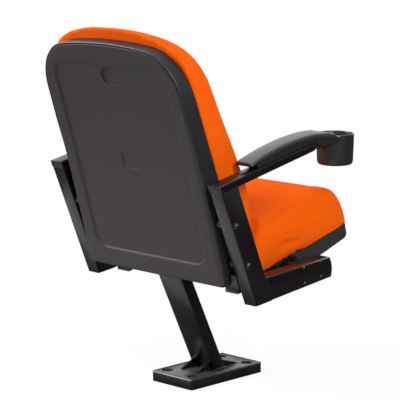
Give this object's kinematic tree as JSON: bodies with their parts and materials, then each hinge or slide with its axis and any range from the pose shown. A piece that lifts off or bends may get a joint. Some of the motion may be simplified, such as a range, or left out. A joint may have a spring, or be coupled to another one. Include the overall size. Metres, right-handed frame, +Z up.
{
  "type": "tip up auditorium seat",
  "caption": "Tip up auditorium seat on a leaning column, with padded back and seat, steel side frames, arm pads and cup holders.",
  "frame": {"origin": "centre of the four anchor holes, on the floor", "axes": "+Z up, the seat faces -Y, +X is the sitter's left"},
  "size_m": [0.655, 0.6623, 0.923],
  "materials": {
    "enamel": "satin powder coat, near black",
    "floor_iron": "satin black paint over a casting",
    "shell_plastic": "fine grained charcoal moulding",
    "pad_plastic": "smooth moulded, satin",
    "trim_plastic": "smooth moulded",
    "upholstery": "taut orange cover over moulded foam",
    "plywood": "birch plywood, sealed",
    "zinc": "zinc plated",
    "black_fixings": "black plated fixings",
    "rubber": "matt black rubber"
  },
  "bodies": {
    "frame": {"floor_plate": "floor_iron", "front_gussets": "enamel", "rear_gussets": "enamel", "column": "enamel", "cross_beam": "enamel", "post_left": "enamel", "post_right": "enamel", "post_plugs": "trim_plastic", "seat_bar_left": "enamel", "seat_bar_right": "enamel", "seat_bar_cap_left": "trim_plastic", "seat_bar_cap_right": "trim_plastic", "arm_bar_left": "enamel", "arm_bar_right": "enamel", "arm_bar_plugs": "trim_plastic", "arm_pad_left": "pad_plastic", "arm_pad_right": "pad_plastic", "pad_screws": "zinc", "back_shell": "shell_plastic", "back_board": "plywood", "back_cushion": "upholstery", "back_angle_left": "zinc", "back_angle_right": "zinc", "back_spacers": "enamel", "back_bolts": "black_fixings", "back_nuts": "zinc", "board_screws": "zinc", "hinge_plate_left": "enamel", "hinge_plate_right": "enamel", "hinge_screws": "black_fixings", "hinge_nuts": "zinc", "pivot_pin_left": "zinc", "pivot_pin_right": "zinc"},
    "seat": {"pivot_bush_left": "trim_plastic", "pivot_bush_right": "trim_plastic", "seat_arm_left": "enamel", "seat_arm_right": "enamel", "seat_arm_screws": "zinc", "seat_tray": "shell_plastic", "seat_board": "plywood", "seat_cushion": "upholstery", "tray_screws": "zinc", "stop_arm_left": "enamel", "stop_arm_right": "enamel", "stop_screws": "zinc", "buffer_left": "rubber", "buffer_right": "rubber"}
  },
  "joints": [
    {"name": "seat_tip", "type": "hinge", "parent": "frame", "child": "seat", "pos_m": [0, -0.06756, 0.32123], "axis": [-1, 0, 0], "range_deg": [0, 60]}
  ]
}
